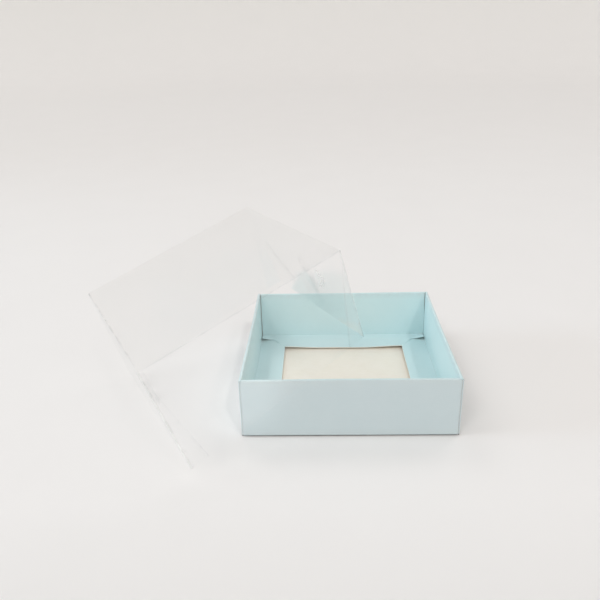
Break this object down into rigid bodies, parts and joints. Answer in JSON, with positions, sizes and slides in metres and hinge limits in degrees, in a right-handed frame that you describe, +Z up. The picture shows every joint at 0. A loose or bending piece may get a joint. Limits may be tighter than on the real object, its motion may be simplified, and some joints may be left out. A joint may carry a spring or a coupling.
{
  "type": "favor box",
  "caption": "Shallow square paperboard tray with folded double walls and sprung floor flanges, with a clear folded film cover leaning on it.",
  "frame": {"origin": "middle of the tray's underside, on the surface that it stands on", "axes": "+Z up, +Y to the back of the tray, +X to its right; the cover leans at the left"},
  "size_m": [0.1849, 0.1429, 0.0895],
  "materials": {
    "board_face": "matte coated face",
    "board_reverse": "uncoated reverse",
    "clear_film": "clear gloss film"
  },
  "bodies": {
    "tray": {"base_panel": "board_reverse", "front_outer_wall": "board_face", "right_outer_wall": "board_face", "back_outer_wall": "board_face", "left_outer_wall": "board_face", "front_rim_fold": "board_face", "right_rim_fold": "board_face", "back_rim_fold": "board_face", "left_rim_fold": "board_face", "front_inner_wall": "board_face", "right_inner_wall": "board_face", "back_inner_wall": "board_face", "left_inner_wall": "board_face", "front_left_tab": "board_face", "front_right_tab": "board_face", "back_left_tab": "board_face", "back_right_tab": "board_face"},
    "front_flange": {"front_flange": "board_face"},
    "right_flange": {"right_flange": "board_face"},
    "back_flange": {"back_flange": "board_face"},
    "left_flange": {"left_flange": "board_face"},
    "cover": {"cover_top": "clear_film", "cover_front_wall": "clear_film", "cover_right_wall": "clear_film", "cover_back_wall": "clear_film", "cover_left_wall": "clear_film", "cover_front_left_flap": "clear_film", "cover_front_right_flap": "clear_film", "cover_back_left_flap": "clear_film", "cover_back_right_flap": "clear_film"}
  },
  "joints": [
    {"name": "front_flange_crease", "type": "hinge", "parent": "tray", "child": "front_flange", "pos_m": [0, -0.04859, 0.00321], "axis": [1, 0, 0], "range_deg": [0, 78]},
    {"name": "right_flange_crease", "type": "hinge", "parent": "tray", "child": "right_flange", "pos_m": [0.04859, 0, 0.00176], "axis": [0, 1, 0], "range_deg": [-5.5, 0], "stiffness_Nm_per_rad": 0.004, "springref_deg": 6.88},
    {"name": "back_flange_crease", "type": "hinge", "parent": "tray", "child": "back_flange", "pos_m": [0, 0.04859, 0.00321], "axis": [-1, 0, 0], "range_deg": [0, 78]},
    {"name": "left_flange_crease", "type": "hinge", "parent": "tray", "child": "left_flange", "pos_m": [-0.04859, 0, 0.00176], "axis": [0, -1, 0], "range_deg": [-5.5, 0], "stiffness_Nm_per_rad": 0.004, "springref_deg": 6.88},
    {"name": "cover_lift", "type": "slide", "parent": "tray", "child": "cover", "axis": [0, 0, 1], "range_m": [0, 0.045]}
  ]
}
